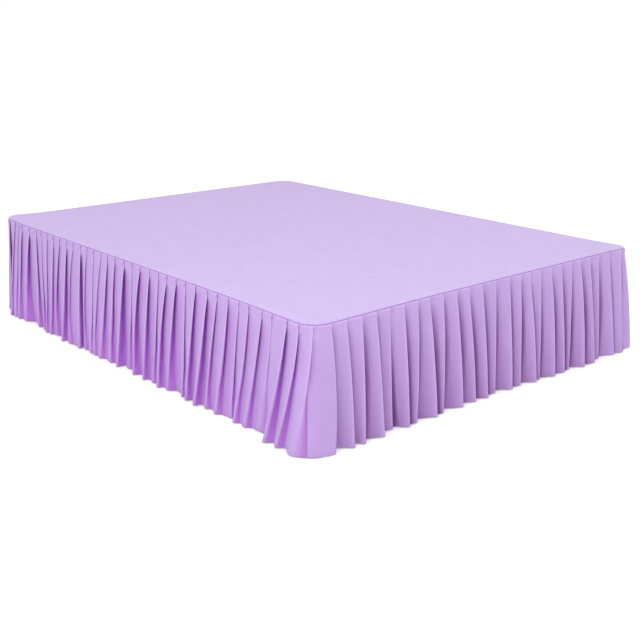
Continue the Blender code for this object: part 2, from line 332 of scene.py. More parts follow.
@dataclass(frozen=True)
class Microfibre:
    """Brushed lilac microfibre: a fine plain weave under a soft nap.

    face is the cloth's own colour on the flat, and pressed a paler tone painted as a highlight along a
    pressed edge and near the seam; deep and ink are painted shade half way in and at the bottom of a
    fold, and dim and grey_darkest_shade are greyer painted shade in their place on all sides but the
    left.
    """

    name: str = "lilac_microfibre"
    face: Triple = (0.525, 0.360, 0.710)
    pressed: Triple = (0.625, 0.455, 0.790)
    saturated_shade: Triple = (0.46, 0.18, 0.63)
    saturated_darkest_shade: Triple = (0.30, 0.075, 0.50)
    dim: Triple = (0.31, 0.145, 0.40)
    grey_darkest_shade: Triple = (0.145, 0.050, 0.20)
    roughness: float = 0.8
    roughness_range: float = 0.10
    sheen: float = 0.12
    sheen_roughness: float = 0.45
    sheen_tint: Triple = (0.95, 0.80, 1.0)
    shine: float = 0.15
    thread: float = 0.7 * MM
    weave_depth: float = 0.05 * MM
    nap: Cloud = Cloud(900.0, 3.0, 0.7)
    nap_depth: float = 0.10 * MM
    mottle: Cloud = Cloud(14.0, 3.0, 0.6)
    mottling: float = 0.12
    fleck: Cloud = Cloud(260.0, 2.0, 0.6)
    flecking: float = 0.08
    hem_line: float = 10.0 * MM
    groove: Pair = (0.36 * MM, 0.9 * MM)
    groove_depth: float = 0.5 * MM
    groove_between: float = 0.55
    stitch: float = 3.2 * MM
    stitch_end: Pair = (0.30, 0.42)
    stitch_dye: float = 0.35
    stitch_shade: float = 0.80

    def material(self) -> bpy.types.Material:
        """Build the material.

        Returns:
            A material that reads the cloth's own UV map, in metres, and its attributes hem (height above
            the hem), recess (painted shade, most in the depth of a fold), edge (painted highlight along a
            pressed edge and near the seam) and dusk (how far that painted shade is grey and not
            saturated).
        """
        recipe = Recipe.of_material(self.name)
        place = recipe.place()
        along, down, _ = recipe.parts(recipe.node("ShaderNodeUVMap", {"uv_map": "cloth"}))
        turn = 2 * math.pi / (2 * self.thread)
        weave = (along * turn).sine() * (down * turn).sine() * 0.5 + 0.5
        nap = recipe.cloud(place, self.nap)
        mottle = recipe.cloud(place, self.mottle)
        fleck = recipe.cloud(place, self.fleck)
        painted_shade, grey_shade_share = recipe.reading("painted_shade"), recipe.reading("grey_shade_share")
        # Painted highlight: the paler pressed colour along pressed crests and near the seam.
        outside = recipe.blend(recipe.reading("edge"), colour(*self.face), colour(*self.pressed))
        # Painted shade in the folds: saturated on the left side, greyer on the others, darker still at
        # the bottom of a fold.
        inside_shade = recipe.blend(grey_shade_share, colour(*self.saturated_shade), colour(*self.dim))
        darkest_shade = recipe.blend(grey_shade_share, colour(*self.saturated_darkest_shade), colour(*self.grey_darkest_shade))
        half_shaded = recipe.blend(painted_shade * 2, outside, inside_shade)
        dye_with_painted_light = recipe.blend(painted_shade * 2 - 1, half_shaded, darkest_shade)
        wear = (mottle - 0.5) * self.mottling + (fleck - 0.5) * self.flecking + 1.0
        worn = recipe.blend(1.0, dye_with_painted_light, wear, mode="MULTIPLY")
        on_line = 1 - (recipe.reading("hem") - self.hem_line).size().band(*self.groove)
        gap = ((along / self.stitch).fraction() - 0.5).size().band(*self.stitch_end)
        stitches = on_line * (1 - gap)
        # The stitches take the saturated fold-shade colour, darkened, as their thread colour.
        sewn = recipe.blend(stitches * self.stitch_dye, worn, colour(*self.saturated_shade, self.stitch_shade))
        pulled_in = on_line * (stitches * (1 - self.groove_between) + self.groove_between)
        weave_normal = recipe.relief(weave, self.weave_depth)
        nap_normal = recipe.relief(nap, self.nap_depth, weave_normal)
        return recipe.finish(
            Base_Color=sewn,
            Roughness=(nap - 0.5) * self.roughness_range + self.roughness,
            Normal=recipe.relief(1 - pulled_in, self.groove_depth, nap_normal),
            Sheen_Weight=self.sheen,
            Sheen_Roughness=self.sheen_roughness,
            Sheen_Tint=colour(*self.sheen_tint),
            Specular_IOR_Level=self.shine,
        )


@dataclass(frozen=True)
class Ticking:
    """Off-white base cloth with a woven herringbone."""

    face: Triple = (0.78, 0.76, 0.72)
    thread: float = 2.0 * MM
    rib: float = 9.0 * MM
    rib_turns: float = 6.0
    weave_depth: float = 0.2 * MM
    weave_share: float = 0.30
    mottle: Cloud = Cloud(22.0)
    mottle_share: float = 0.35
    shade: float = 0.80
    roughness: float = 0.9

    def material(self) -> bpy.types.Material:
        """Build the material on Object coordinates."""
        recipe = Recipe.of_material("base_ticking")
        place = recipe.place()
        across, along, up = recipe.parts(place)
        zigzag = ((across + along) / self.rib).fraction() - 0.5
        twill = ((across + along + up) / self.thread + zigzag.size() * self.rib_turns) * (2 * math.pi)
        weave = twill.sine() * 0.5 + 0.5
        worn = weave * self.weave_share + recipe.cloud(place, self.mottle) * self.mottle_share
        tone = recipe.blend(worn, colour(*self.face), colour(*self.face, self.shade))
        relief = recipe.relief(weave, self.weave_depth)
        return recipe.finish(Base_Color=tone, Roughness=self.roughness, Normal=relief)


@dataclass(frozen=True)
class TurnedWood:
    """Oiled beech with its grain along the leg."""

    pale: Triple = (0.60, 0.41, 0.24)
    dark: Triple = (0.40, 0.24, 0.12)
    drawn_out: Triple = (1.0, 1.0, 0.06)
    rings: Cloud = Cloud(160.0, 4.0, 0.6)
    ring_band: Pair = (0.35, 0.65)
    fleck: Cloud = Cloud(620.0)
    fleck_band: Pair = (0.55, 0.75)
    fleck_share: float = 0.3
    grain_depth: float = 0.15 * MM
    roughness: float = 0.42
    roughness_range: float = 0.12

    def material(self) -> bpy.types.Material:
        """Build the material on Object coordinates."""
        recipe = Recipe.of_material("leg_wood")
        inputs = {"Vector": recipe.place(), "Scale": self.drawn_out}
        drawn = recipe.node("ShaderNodeMapping", {}, inputs)
        rings = recipe.cloud(drawn, self.rings).band(*self.ring_band)
        fleck = recipe.cloud(drawn, self.fleck).band(*self.fleck_band)
        grain = rings * (1 - self.fleck_share) + fleck * self.fleck_share
        return recipe.finish(
            Base_Color=recipe.blend(grain, colour(*self.pale), colour(*self.dark)),
            Roughness=grain * self.roughness_range + self.roughness,
            Normal=recipe.relief(grain, self.grain_depth),
        )


@dataclass(frozen=True)
class PaleFloor:
    """Plain studio floor."""

    tone: Triple = (0.84, 0.84, 0.84)
    roughness: float = 0.9
    shine: float = 0.1
    glow: float = 0.28

    def material(self) -> bpy.types.Material:
        """Build the material."""
        return Recipe.of_material("studio_floor").finish(
            Base_Color=colour(*self.tone),
            Roughness=self.roughness,
            Specular_IOR_Level=self.shine,
            Emission_Color=WHITE,
            Emission_Strength=self.glow,
        )


# ---------------------------------------------------------------- making pieces

def mesh_of(name: str, shape: bmesh.types.BMesh) -> bpy.types.Mesh:
    """Turn a bmesh into a mesh, and let go of it."""
    mesh = bpy.data.meshes.new(name)
    shape.to_mesh(mesh)
    shape.free()
    return mesh


def stand(name: str, data: bpy.types.ID) -> bpy.types.Object:
    """Make an object of a mesh, lamp or camera, and link it to the scene."""
    made = bpy.data.objects.new(name, data)
    bpy.context.scene.collection.objects.link(made)
    return made


def aim(thing: bpy.types.Object, place: Vector, look: Vector) -> None:
    """Put a lamp or the camera at a place, looking along a direction."""
    thing.location = place
    thing.rotation_mode = "QUATERNION"
    thing.rotation_quaternion = look.to_track_quat("-Z", "Y")


def thicken(piece: bpy.types.Object, thickness: float) -> bpy.types.Modifier:
    """Give a sheet its thickness, half of it on each side."""
    solid = piece.modifiers.new("cloth", "SOLIDIFY")
    solid.thickness = thickness
    solid.offset = 0.0
    return solid


def write_values(mesh: bpy.types.Mesh, fields: dict[str, Array | list[float]]) -> None:
    """Write a mesh's attributes, each with a number for every vertex."""
    for name, values in fields.items():
        mesh.attributes.new(name, "FLOAT", "POINT").data.foreach_set("value", values)


# ------------------------------------------------------------------ the outline

class Side(Enum):
    """The bed's sides, in the order in which the outline runs round them."""

    LEFT = 0
    FOOT = 1
    RIGHT = 2
    HEAD = 3


@dataclass(frozen=True)
class Outline:
    """The bed's rounded outline seen from above, on which the pleats are counted.

    The way along it starts at the head end of the left side and runs round the
    foot, so that it grows from left to right for someone outside the bed.
    """

    width: float
    length: float
    middle: Pair
    radius: float = 0.065

    @property
    def runs(self) -> Pair:
        """Straight runs of a long side and of an end."""
        return self.length - 2 * self.radius, self.width - 2 * self.radius

    @property
    def arc(self) -> float:
        """Way round one corner."""
        return math.pi / 2 * self.radius

    @property
    def perimeter(self) -> float:
        """Way round the whole outline."""
        return 2 * sum(self.runs) + 4 * self.arc

    def place(self, along: Array, out: Array) -> Points:
        """Points at distances along the outline and out from it.

        Args:
            along: ways along the outline.
            out: ways out from it.

        Returns:
            Their X and their Y.
        """
        x, y = np.zeros_like(along), np.zeros_like(along)
        left = np.mod(along, self.perimeter)
        start = 0.0
        half = (self.width / 2 - self.radius, self.length / 2 - self.radius)
        for side in Side:
            run = self.runs[side.value % 2]
            facing = math.pi + side.value * math.pi / 2
            sign_x = -1 if side in (Side.LEFT, Side.HEAD) else 1
            sign_y = -1 if side in (Side.LEFT, Side.FOOT) else 1
            centre = (self.middle[0] + sign_x * half[0], self.middle[1] + sign_y * half[1])
            here = (left >= start) & (left <= start + run + self.arc)
            short = np.clip(start + run - left, 0.0, None)
            turn = facing + np.clip(left - start - run, 0.0, None) / self.radius
            reach = self.radius + out
            x_here = centre[0] + np.cos(turn) * reach + math.sin(facing) * short
            y_here = centre[1] + np.sin(turn) * reach - math.cos(facing) * short
            x, y = np.where(here, x_here, x), np.where(here, y_here, y)
            start += run + self.arc
        return x, y


# -------------------------------------------------------------------- the pleats

def between(start: Array | float, end: Array | float, share: Array | float) -> Array:
    """Value between two others."""
    return start + (end - start) * share


def lumps(place: Triple, scale: Pair, shift: float = 0.0) -> float:
    """Smooth noise about 0 at a place, at scales in lumps a metre across and up."""
    across, up = scale
    return noise.noise(Vector((place[0] * across + shift, place[1] * across, place[2] * up)))


@dataclass(frozen=True)
class Drape:
    """How the drop hangs: the sizes that all its pleats share.

    seam_outer and seam_inner: ways out of a pleat's two folds below the seam,
    and tucked_outer and tucked_inner those in the seam; lap_pitch: how far a
    panel's lap lies behind the panel before it, above the hem and in it; the
    powers: how early down the drop a fold leans, opens, parts from the fold
    behind it and comes out from under it; sag and lift: bumps of the seam at a
    corner, by its side, its end, the height and the reach; tug: how far the
    cloth is pulled out at a corner; calm_corners: reaches before and after the
    first three corners, where the folds hang open and round; the rows: where
    the cloth has points, in millimetres from the seam or the hem.
    """

    outline: Outline
    top: float
    hem: float = 4.0 * MM
    shoulder: float = 5.0 * MM
    roll: float = 8.0 * MM
    seam_outer: float = 4.4 * MM
    seam_inner: float = 1.6 * MM
    tucked_outer: float = -0.8 * MM
    tucked_inner: float = -3.2 * MM
    bulge: float = 1.6 * MM
    underlap: float = 14.0 * MM
    fold_width: float = 6.0 * MM
    lap: float = 14.0 * MM
    lap_pitch: Pair = (0.95 * MM, 1.8 * MM)
    lap_hem: float = 14.0 * MM
    lean_power: float = 1.15
    open_power: float = 0.85
    pocket_power: float = 0.5
    untuck_power: float = 2.0
    sag: Bump = (-1, -1, 7.0 * MM, 0.30)
    lift: Bump = (-1, 1, 6.0 * MM, 0.12)
    tug: Pair = (20.0 * MM, -14.0 * MM)
    tug_reach: float = 0.062
    tug_flare: float = 0.7
    hem_band: float = 10.0 * MM
    calm_corners: tuple[Pair, ...] = ((0.10, 0.17), (0.27, 0.10), (0.08, 0.16))
    corner_untuck: float = 1.1
    corner_spread: float = 2.0
    rows_below_seam: tuple[float, ...] = (0.0, 1.2, 2.6, 4.4, 6.5, 9.0, 12.5, 17.0, 23.0, 30.0, 38.0)
    rows_between: int = 27
    rows_above_hem: tuple[float, ...] = (11.2, 10.0, 8.8, 4.5, 0.0)
    hem_gap: float = 3.0 * MM

    @property
    def drop(self) -> float:
        """Height of the drop."""
        return self.top - self.hem

    def at_corner(self, along: Array) -> Array:
        """How near a place on the outline is to one of the first three corners, from 0 to 1."""
        total = np.zeros_like(along)
        round_it = self.outline.perimeter
        middle = -self.outline.arc / 2
        for (before, after), run in zip(self.calm_corners, (*self.outline.runs, 0.0)):
            way = np.mod(along - middle + round_it / 2, round_it) - round_it / 2
            total = total + np.exp(-(way / np.where(way < 0, before, after)) ** 2)
            middle += run + self.outline.arc
        return total

    def _to_corner(self, side: int, end: int, x: Array, y: Array) -> Array:
        """Ways to a square corner, left (-1) or right (1) and at the foot (-1) or the head (1)."""
        outline = self.outline
        corner_x = outline.middle[0] + side * outline.width / 2
        corner_y = outline.middle[1] + end * outline.length / 2
        return np.hypot(x - corner_x, y - corner_y)

    def _bumped(self, bump: Bump, x: Array, y: Array) -> Array:
        """Height of a soft bump about its corner."""
        side, end, height, reach = bump
        return height * np.exp(-(self._to_corner(side, end, x, y) / reach) ** 2)

    def sagged(self, x: Array, y: Array) -> Array:
        """How far the seam is pulled down below the deck, at the near corner."""
        return self._bumped(self.sag, x, y)

    def lifted(self, x: Array, y: Array) -> Array:
        """How far the deck and its seam bunch up, at the far corner of the left side."""
        return self._bumped(self.lift, x, y)

    def tugged(self, x: Array, y: Array, level: Array) -> Points:
        """Pull the cloth out at the right corner of the foot, more towards the hem."""
        share = self._bumped((1, -1, 1.0, self.tug_reach), x, y) * (1 + self.tug_flare * level)
        return x + self.tug[0] * share, y + self.tug[1] * share

    def ways_down(self) -> Array:
        """Distances below the seam at which the cloth's rows lie."""
        upper = [row * MM for row in self.rows_below_seam]
        lower = [self.drop - row * MM for row in self.rows_above_hem]
        last = self.drop - self.hem_band - self.hem_gap
        middle = np.linspace(upper[-1], last, self.rows_between + 1)[1:]
        return np.array([*upper, *middle, *lower])


class Ring(NamedTuple):
    """The pleats of the whole drop as arrays in metres, one value for each pleat.

    seam and hem: places of the crest's two ends along the outline; room: the
    way along the hem to the next crest.
    """

    seam: Array
    hem: Array
    crest: Array
    trough: Array
    bow: Array
    pinch: Array
    room: Array


@dataclass(frozen=True)
class PlainSide:
    """Pleats of a side that faces away, drawn about a plain pitch, in millimetres."""

    seed: int
    pitch: float = 57.0
    spread: float = 7.0
    lean: float = 16.0
    hem_least: float = 34.0
    last_lean: float = -6.0
    crest: Pair = (34.0, 54.0)
    depth: Pair = (10.0, 27.0)
    corner_crest: float = 57.0
    last_depth: float = 27.0

    def folds(self, run: float, lean: float) -> tuple[Fold, ...]:
        """Draw the folds that fill a run of the outline.

        Args:
            run: the run's length in metres.
            lean: that of the fold before the first one, in millimetres.

        Returns:
            The folds, none with its hem crest too near the crest before it.
        """
        draw = random.Random(self.seed)
        count = round(run / (self.pitch * MM))
        widths = [self.pitch + draw.uniform(-self.spread, self.spread) for _ in range(count)]
        scale = run / MM / sum(widths)
        folds = []
        for number, width in enumerate(widths):
            last = number == count - 1
            crest = self.corner_crest if last or number == 0 else draw.uniform(*self.crest)
            depth = draw.uniform(*self.depth)
            if last:
                depth = min(depth, self.last_depth)
            wish = self.last_lean if last else draw.uniform(-self.lean, self.lean)
            lean = max(wish, lean + self.hem_least - width * scale)
            folds.append(Fold(width * scale, lean, crest, crest - depth))
        return tuple(folds)


def ring_of(folds: list[Fold], start: float, perimeter: float) -> Ring:
    """Lay folds one after another round the outline.

    Args:
        folds: all the folds of the drop, from the head end of the left side.
        start: place of the seam fold before the first one.
        perimeter: way round the outline.

    Returns:
        The ring of pleats.
    """
    width, lean, crest, trough, bow, pinch = (np.array(folds) * MM).T
    seam = start + np.cumsum(width)
    hem = seam + lean
    following = np.append(hem[1:], hem[0] + perimeter)
    return Ring(seam, hem, crest, trough, bow, pinch, following - hem)


class Steps(NamedTuple):
    """How finely a stretch of cloth between two folds is drawn.

    first and last: pieces of its two round folds; flat: shares of the flat
    stretch between them that have points.
    """

    first: int
    flat: tuple[float, ...]
    last: int


def swing(start: Points, end: Points, radii: Points, steps: Steps) -> Points:
    """Draw a round fold, a flat stretch and a round fold back, between two points.

    At both points the cloth runs along the side. Where the end lies behind the
    start, the folds turn nearly half way round and the cloth lies over itself.

    Args:
        start: ways along and out of the first point.
        end: ways along and out of the last point.
        radii: radii of the first and the last fold, made less where both
            don't fit between the points.
        steps: how finely it is drawn.

    Returns:
        Ways along and out, with the points on a new last axis, the end left out.
    """
    least_rise, radii_fit = 0.01 * MM, 0.48
    run = end[0] - start[0]
    turn_way = np.where(end[1] >= start[1], 1.0, -1.0)
    rise = np.maximum(np.abs(end[1] - start[1]), least_rise)
    limit = radii_fit * (rise + np.maximum(run, 0.0) ** 2 / rise)
    shrink = np.minimum(1.0, limit / (radii[0] + radii[1]))
    first, last = radii[0] * shrink, radii[1] * shrink
    both = first + last
    flat = np.sqrt(np.maximum(run ** 2 + rise ** 2 - 2 * both * rise, 0.0))
    angle = np.arctan2(rise - both, run) + np.arctan2(both, flat)
    along, out = [], []
    for step in range(steps.first + 1):
        bend = angle * step / steps.first
        along.append(start[0] + first * np.sin(bend))
        out.append(start[1] + turn_way * first * (1 - np.cos(bend)))
    fold_end = along[-1], out[-1]
    for share in steps.flat:
        way = flat * share
        along.append(fold_end[0] + np.cos(angle) * way)
        out.append(fold_end[1] + turn_way * np.sin(angle) * way)
    for step in range(steps.last):
        bend = angle * (1 - step / steps.last)
        along.append(end[0] - last * np.sin(bend))
        out.append(end[1] - turn_way * last * (1 - np.cos(bend)))
    return np.stack(along, axis=-1), np.stack(out, axis=-1)


class Folds(NamedTuple):
    """The folds of some pleats, with the cloth's rows on the first axis.

    crest and inner: ways along and out of the outer fold and of the inner fold
    after it; opened: how far the pleat has opened, from 0 at the seam to 1.
    """

    crest: Points
    inner: Points
    opened: Array

    def pick(self, which: slice) -> Folds:
        """The folds of some of the pleats."""
        crest, inner = ((along[:, which], out[:, which]) for along, out in (self.crest, self.inner))
        return Folds(crest, inner, self.opened[:, which])


class Section(NamedTuple):
    """The cloth at every row, each row from left to right.

    along and out: its ways along the outline and out from it; way: that along the flat strip; recess:
    painted shade for the depth in a fold; edge: painted highlight along a pressed edge and near the seam.
    """

    along: Array
    out: Array
    way: Array
    painted_shade: Array
    edge: Array


@dataclass
class Panel:
    """One panel of the drop: a strip of cloth in knife pleats, with its hem.

    softness and crispness: how round its folds are, and how far down they stay pressed; pocket and slack:
    how far behind the fold before it the cloth gets painted shade, and where that starts; the slot is a
    painted shadow line beside a fold, and the shade a softer painted shade about it; ridge: how much a
    face bends close to its crest; fade: painted shade growing towards the hem; return_share: how far the
    cloth behind a fold swings round to the next one; wave, ripple and hem_wave: swells of the faces and
    of the hem; grey_shade_start: how grey and not saturated the painted shade in the folds is on the foot
    and the head side; run_in: pleats before the panel from which its first fold is worked out; the seeds
    count on from the first pleat.
    """

    name: str
    node: str
    drape: Drape
    ring: Ring
    first: int
    last: int
    cloth: float = 0.8 * MM
    hem_cloth: float = 1.5 * MM
    hem_rows: int = 4
    run_in: int = 3
    face_steps: Steps = Steps(3, (0.05, 0.12, 0.22, 0.36, 0.52, 0.70, 0.85, 0.95), 3)
    return_steps: Steps = Steps(4, (0.2, 0.45, 0.75), 3)
    lap_steps: int = 3
    pressed_radius: float = 0.55 * MM
    face_radii: Pair = (13.0 * MM, 20.0 * MM)
    return_radii: Pair = (5.5 * MM, 8.0 * MM)
    least_stride: float = 2.0 * MM
    last_step: float = 2.0 * MM
    softness: float = 0.7
    softness_range: Pair = (0.6, 1.4)
    softness_seed: int = 3
    crispness: float = 1.3
    pocket: float = 8.0 * MM
    pocket_curve: float = 0.7
    slack: float = 2.0 * MM
    slot_width: float = 5.0 * MM
    slot_power: float = 2.0
    slot_share: float = 0.5
    slot_fade: float = 0.7
    shade_width: float = 20.0 * MM
    high_shade: float = 1.0
    low_shade: float = 0.8
    shade_rise: float = 1.0
    keenness: Pair = (0.7, 1.3)
    highlight_width: float = 2.5 * MM
    highlight_points: int = 2
    highlight_softening: float = 0.6
    lit_return: float = 0.4
    ridge: float = 1.4
    hem_shade: float = 0.10
    hem_shade_power: float = 3.0
    return_share: float = 0.16
    wave: float = 2.0 * MM
    wave_turns: Pair = (1.0, 1.8)
    wave_seed: int = 8
    ripple: float = 3.0 * MM
    ripple_scale: Pair = (16.0, 5.0)
    crease_scale: Pair = (45.0, 7.0)
    crease_shift: float = 9.0
    crease_share: float = 0.35
    hem_wave: float = 1.5 * MM
    hem_wave_scale: Pair = (6.0, 3.1)
    hem_wave_power: int = 4
    grey_shade_start: float = 1.2
    corner_round: float = 2.2
    corner_light: float = 0.90
    corner_rise: float = 2.2
    corner_curve: float = 1.5
    corner_slot: float = 1.0
    tuck_room: float = 1.3 * MM
    pinched: float = 1.0
    seam_line: float = 0.8 * MM
    seam_highlight: float = 0.0
    seam_reach: float = 35.0 * MM

    def _folds(self) -> Folds:
        """Lay out the folds of the panel and of the pleat before it, at every row."""
        drape, ring = self.drape, self.ring
        which = np.arange(self.first - 1 - self.run_in, self.last)
        turns, pick = np.divmod(which, len(ring.seam))
        down = drape.ways_down()[:, None]
        reach = drape.drop - drape.shoulder
        level = np.clip((down - drape.shoulder) / reach, 0.0, 1.0)
        pinch = ring.pinch[pick] * self.pinched
        opened = np.clip((down - drape.shoulder - pinch) / (reach - pinch), 0.0, 1.0)
        lean = ring.hem[pick] - ring.seam[pick]
        crest_along = ring.seam[pick] + turns * drape.outline.perimeter
        crest_along = crest_along + lean * level ** drape.lean_power
        crest_along = crest_along + ring.bow[pick] * 4 * level * (1 - level)
        at_corner = drape.at_corner(crest_along)
        share = self.return_share * between(1.0, drape.corner_spread, at_corner)
        run = drape.fold_width + share * (ring.room[pick] - 2 * drape.fold_width)
        power = between(drape.untuck_power, drape.corner_untuck, at_corner)
        inner_along = crest_along + between(-drape.underlap, run, opened ** power)
        crest_out = between(drape.seam_outer, ring.crest[pick], opened ** drape.open_power)
        shut, spread = drape.seam_outer - drape.seam_inner, ring.crest[pick] - ring.trough[pick]
        inner_out = crest_out - between(shut, np.maximum(spread, shut), opened ** drape.pocket_power)
        turned = np.clip(down / drape.roll, 0.0, 1.0)
        rolled = np.sqrt(1 - (1 - turned) ** 2)
        crest_out = crest_out + drape.bulge * np.exp(-((down - drape.roll) / drape.roll) ** 2)
        crest_out = between(drape.tucked_outer, crest_out, rolled)
        inner_out = between(drape.tucked_inner, inner_out, rolled)
        folds = Folds((crest_along, crest_out), (inner_along, inner_out), opened)
        for own in range(1, len(which)):
            self._tuck(folds, own)
        return folds.pick(slice(self.run_in, None))

    def _tuck(self, folds: Folds, own: int) -> None:
        """Lower one inner fold until the cloth tucked in with it lies behind its own face."""
        (crest_along, crest_out), (inner_along, inner_out) = folds.crest, folds.inner
        start = inner_along[:, own - 1], inner_out[:, own - 1]
        stride = np.maximum(crest_along[:, own] - start[0], self.least_stride)
        soft = folds.opened[:, own] ** self.crispness
        share = np.clip((inner_along[:, own] - start[0]) / stride, 0.0, 1.0)
        face = between(start[1], crest_out[:, own], share ** between(1.0, self.ridge, soft))
        behind = face - self.tuck_room - self.wave * soft * np.sin(math.pi * share) ** 2
        inner_out[:, own] = np.minimum(inner_out[:, own], behind)

    def _curves(
        self, start: Points, folds: Folds, draw: np.random.Generator
    ) -> tuple[Points, Points, Array]:
        """Draw each pleat's face and the return behind its crest.

        Args:
            start: where each face leaves the inner fold before it.
            folds: the folds of the panel.
            draw: source of the swells.

        Returns:
            Points of the faces and of the returns, and for each point of a face
            its share of the way to the crest.
        """
        soft = folds.opened ** self.crispness
        chance = np.random.default_rng(self.first + self.softness_seed)
        crisp = self.softness * chance.uniform(*self.softness_range, soft.shape[1])
        rounder = between(1.0, self.corner_round, self.drape.at_corner(folds.crest[0]))
        loose = np.clip((folds.inner[0] - folds.crest[0]) / self.drape.fold_width, 0.0, 1.0)
        at_start, before_crest = self.face_radii
        after_crest, at_inner = self.return_radii
        pressed = self.pressed_radius
        face_radii = (
            between(pressed, at_start, soft),
            between(pressed, before_crest * crisp * rounder, soft),
        )
        return_radii = (
            between(pressed, after_crest * crisp * rounder, soft),
            between(pressed, at_inner, soft * loose),
        )
        face = swing(start, folds.crest, face_radii, self.face_steps)
        back = swing(folds.crest, folds.inner, return_radii, self.return_steps)
        soft = soft[:, :, None]
        stride = np.maximum(folds.crest[0] - start[0], self.least_stride)[:, :, None]
        share = np.clip((face[0] - start[0][:, :, None]) / stride, 0.0, 1.0)
        turns = draw.uniform(*self.wave_turns, soft.shape[1])[:, None]
        phase = draw.uniform(0.0, 2 * math.pi, soft.shape[1])[:, None]
        height = self.wave * soft * np.sin(2 * math.pi * turns * share + phase)
        bent = share ** between(1.0, self.ridge, soft) - share
        rise = (folds.crest[1] - start[1])[:, :, None]
        out = face[1] + height * np.sin(math.pi * share) ** 2 + rise * bent
        return (face[0], out), back, share

    def _shade(self, beside: Array, behind: Array, opened: Array, keen: Array) -> Array:
        """Painted shade on a pleat's face beside and behind the crest before it, from 0 to 1.

        Args:
            beside: ways from the crest before it, along the side.
            behind: ways behind that crest.
            opened: how far that crest's fold has opened.
            keen: breadth of each pleat's painted shadow line, about 1.
        """
        cover = np.clip((behind - self.slack) / self.pocket, 0.0, 1.0) ** self.pocket_curve
        beside = np.maximum(beside, 0.0)
        slot = np.exp(-(beside / (self.slot_width * keen)) ** self.slot_power)
        slot = slot * (1 - self.slot_fade * opened)
        shade = between(np.exp(-beside / self.shade_width), slot, self.slot_share)
        strength = between(self.high_shade, self.low_shade, np.minimum(opened * self.shade_rise, 1.0))
        return np.minimum(cover * shade * strength, 1.0)

    def _painted_shade_of(
        self, before: Folds, folds: Folds, curves: tuple[Points, Points, Array], draw: np.random.Generator
    ) -> Array:
        """Painted shade of each point for how deep in a fold it lies, from 0 to 1.

        Args:
            before: the folds before those of the panel, one for one.
            folds: the folds of the panel.
            curves: the faces, the returns and the shares of the faces.
            draw: source of the slots' breadths.
        """
        face, back, share = curves
        crest_along, crest_out, opened = (each[:, :, None] for each in (*before.crest, before.opened))
        down = self.drape.ways_down()[:, None, None]
        at_corner = self.drape.at_corner(crest_along)
        keen = draw.uniform(*self.keenness, share.shape[1])[None, :, None]
        keen = keen * between(1.0, self.corner_slot, at_corner)
        # Painted shade beside and behind the crest before each face, lifted near the corners where light
        # falls into the open folds.
        shade = self._shade(face[0] - crest_along, crest_out - face[1], opened, keen)
        lit = np.minimum(opened * self.corner_rise, 1.0) ** self.corner_curve
        shade = shade * (1 - self.corner_light * at_corner * lit)
        # Painted shade on the return behind each crest, less towards the hem.
        inside_shade = np.clip((folds.crest[1][:, :, None] - back[1]) / self.pocket, 0.0, 1.0)
        inside_shade = inside_shade * between(1.0, self.lit_return, folds.opened[:, :, None])
        # Painted shade that grows towards the hem, away from the corners.
        hem_shading = np.concatenate([1 - share ** self.hem_shade_power, np.ones_like(inside_shade)], axis=-1)
        off_corner = 1 - self.drape.at_corner(folds.crest[0])
        hem_shading = hem_shading * off_corner[:, :, None] * down / self.drape.drop
        painted_shade = np.concatenate([shade, inside_shade], axis=-1) + self.hem_shade * hem_shading
        # Painted shadow along the seam line at the top of the drop.
        return np.clip(painted_shade + np.clip(1 - down / self.seam_line, 0.0, 1.0), 0.0, 1.0)

    def _painted_highlight(self, folds: Folds, along: Array, face_points: int) -> Array:
        """Painted highlight along each pressed crest and near the seam, from 0 to 1.

        Args:
            folds: the folds of the panel.
            along: the points' ways along the side.
            face_points: how many of a pleat's points lie on its face.
        """
        down = self.drape.ways_down()[:, None, None]
        soft = (folds.opened ** self.crispness)[:, :, None]
        rounded = (self.drape.at_corner(folds.crest[0]) * folds.opened)[:, :, None]
        edge = np.exp(-(np.abs(along - folds.crest[0][:, :, None]) / self.highlight_width) ** 2)
        edge = edge * (np.arange(along.shape[-1]) < face_points + self.highlight_points)
        edge = edge * (1 - self.highlight_softening * soft) * (1 - rounded)
        return np.clip(edge + self.seam_highlight * np.exp(-down / self.seam_reach), 0.0, 1.0)

    def _widths(self) -> Array:
        """Widths of the panel's pleats along the seam."""
        before = np.roll(self.ring.seam, 1)
        widths = np.mod(self.ring.seam - before, self.drape.outline.perimeter)
        return widths[np.arange(self.first, self.last) % len(widths)]

    def _whole(self, lap: Array | float, pleats: Array, end: Array | float) -> Array:
        """Put the lap before the pleats' points and the last inner fold after them."""
        rows = len(pleats)
        lap = np.broadcast_to(lap, (rows, self.lap_steps))
        return np.concatenate([lap, pleats.reshape(rows, -1), np.broadcast_to(end, (rows, 1))], axis=1)

    def _section(self) -> Section:
        """Draw the panel's section at every row."""
        drape = self.drape
        every = self._folds()
        before, folds = every.pick(slice(None, -1)), every.pick(slice(1, None))
        start = before.inner[0].copy(), before.inner[1].copy()
        in_hem = (drape.ways_down() > drape.drop - drape.lap_hem).astype(int)
        start[1][:, 0] -= np.array(drape.lap_pitch)[in_hem]
        draw = np.random.default_rng(self.first + self.wave_seed)
        curves = self._curves(start, folds, draw)
        face, back, share = curves
        along, out = (np.concatenate(pair, axis=-1) for pair in zip(face, back))
        painted_shade = self._painted_shade_of(before, folds, curves, draw)
        edge = self._painted_highlight(folds, along, share.shape[-1])
        way = np.zeros_like(along)
        way[:, :, 1:] = np.cumsum(np.hypot(np.diff(along, axis=-1), np.diff(out, axis=-1)), axis=-1)
        cut = self._widths() + 2 * drape.underlap
        offset = np.cumsum(cut) - cut
        way = offset[None, :, None] + way / (way[:, :, -1:] + self.last_step) * cut[None, :, None]
        lap = drape.lap * (np.arange(self.lap_steps)[::-1] + 1) / self.lap_steps
